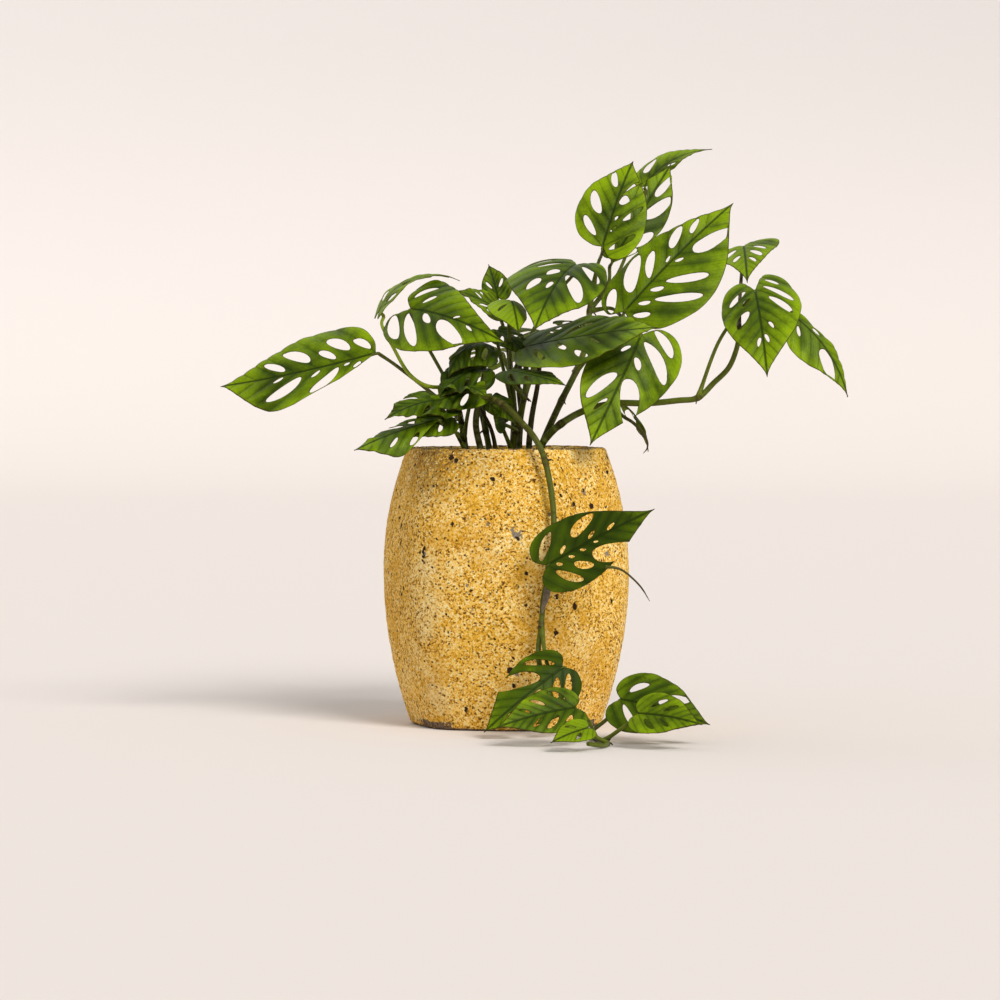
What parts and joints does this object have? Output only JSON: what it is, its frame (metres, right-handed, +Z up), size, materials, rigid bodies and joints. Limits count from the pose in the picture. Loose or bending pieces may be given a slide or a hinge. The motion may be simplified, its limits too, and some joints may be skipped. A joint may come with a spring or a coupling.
{
  "type": "potted swiss cheese vine",
  "caption": "Swiss cheese vine with holed heart-shaped leaves in a softly hexagonal stoneware barrel pot, with a vine that trails over the rim and along the surface.",
  "frame": {"origin": "middle of the pot's foot, on the surface that the pot stands on", "axes": "+Z up, -Y the front, where the trailing vine comes down, +X to the right seen from the front"},
  "size_m": [0.4643, 0.4024, 0.4283],
  "materials": {
    "pot_stoneware": "rough granular matte glaze, golden ochre with brown grain and dark pits",
    "potting_mix": "crumbly, matte",
    "vine_stem": "satin green stem",
    "leaf_blade": "satin leaf"
  },
  "bodies": {
    "root": {"back_leaf_left": "leaf_blade", "back_leaf_middle": "leaf_blade", "back_leaf_right": "leaf_blade", "back_vine": "vine_stem", "centre_leaf_big": "leaf_blade", "centre_leaf_bright": "leaf_blade", "centre_leaf_low": "leaf_blade", "centre_leaf_slit": "leaf_blade", "centre_leaf_top": "leaf_blade", "centre_vine": "vine_stem", "climbing_vine": "vine_stem", "far_leaf_drooping": "leaf_blade", "far_leaf_round": "leaf_blade", "far_leaf_small": "leaf_blade", "front_leaf_long": "leaf_blade", "front_leaf_short": "leaf_blade", "front_vine": "vine_stem", "left_leaf_folded": "leaf_blade", "left_leaf_low": "leaf_blade", "left_leaf_middle": "leaf_blade", "left_leaf_outer": "leaf_blade", "left_leaf_round": "leaf_blade", "left_vine": "vine_stem", "mid_leaf_curled": "leaf_blade", "mid_leaf_flat": "leaf_blade", "mid_left_vine": "vine_stem", "pot": "pot_stoneware", "potting_mix": "potting_mix", "right_leaf_big": "leaf_blade", "right_leaf_hanging": "leaf_blade", "right_leaf_narrow": "leaf_blade", "runner_vine": "vine_stem", "top_leaf_back": "leaf_blade", "top_leaf_front": "leaf_blade", "top_leaf_narrow": "leaf_blade", "trail_leaf_left": "leaf_blade", "trail_leaf_near": "leaf_blade", "trail_leaf_right": "leaf_blade", "trail_leaf_tip": "leaf_blade", "trail_leaf_top": "leaf_blade", "trail_leaf_torn": "leaf_blade", "trailing_vine": "vine_stem"}
  },
  "joints": []
}
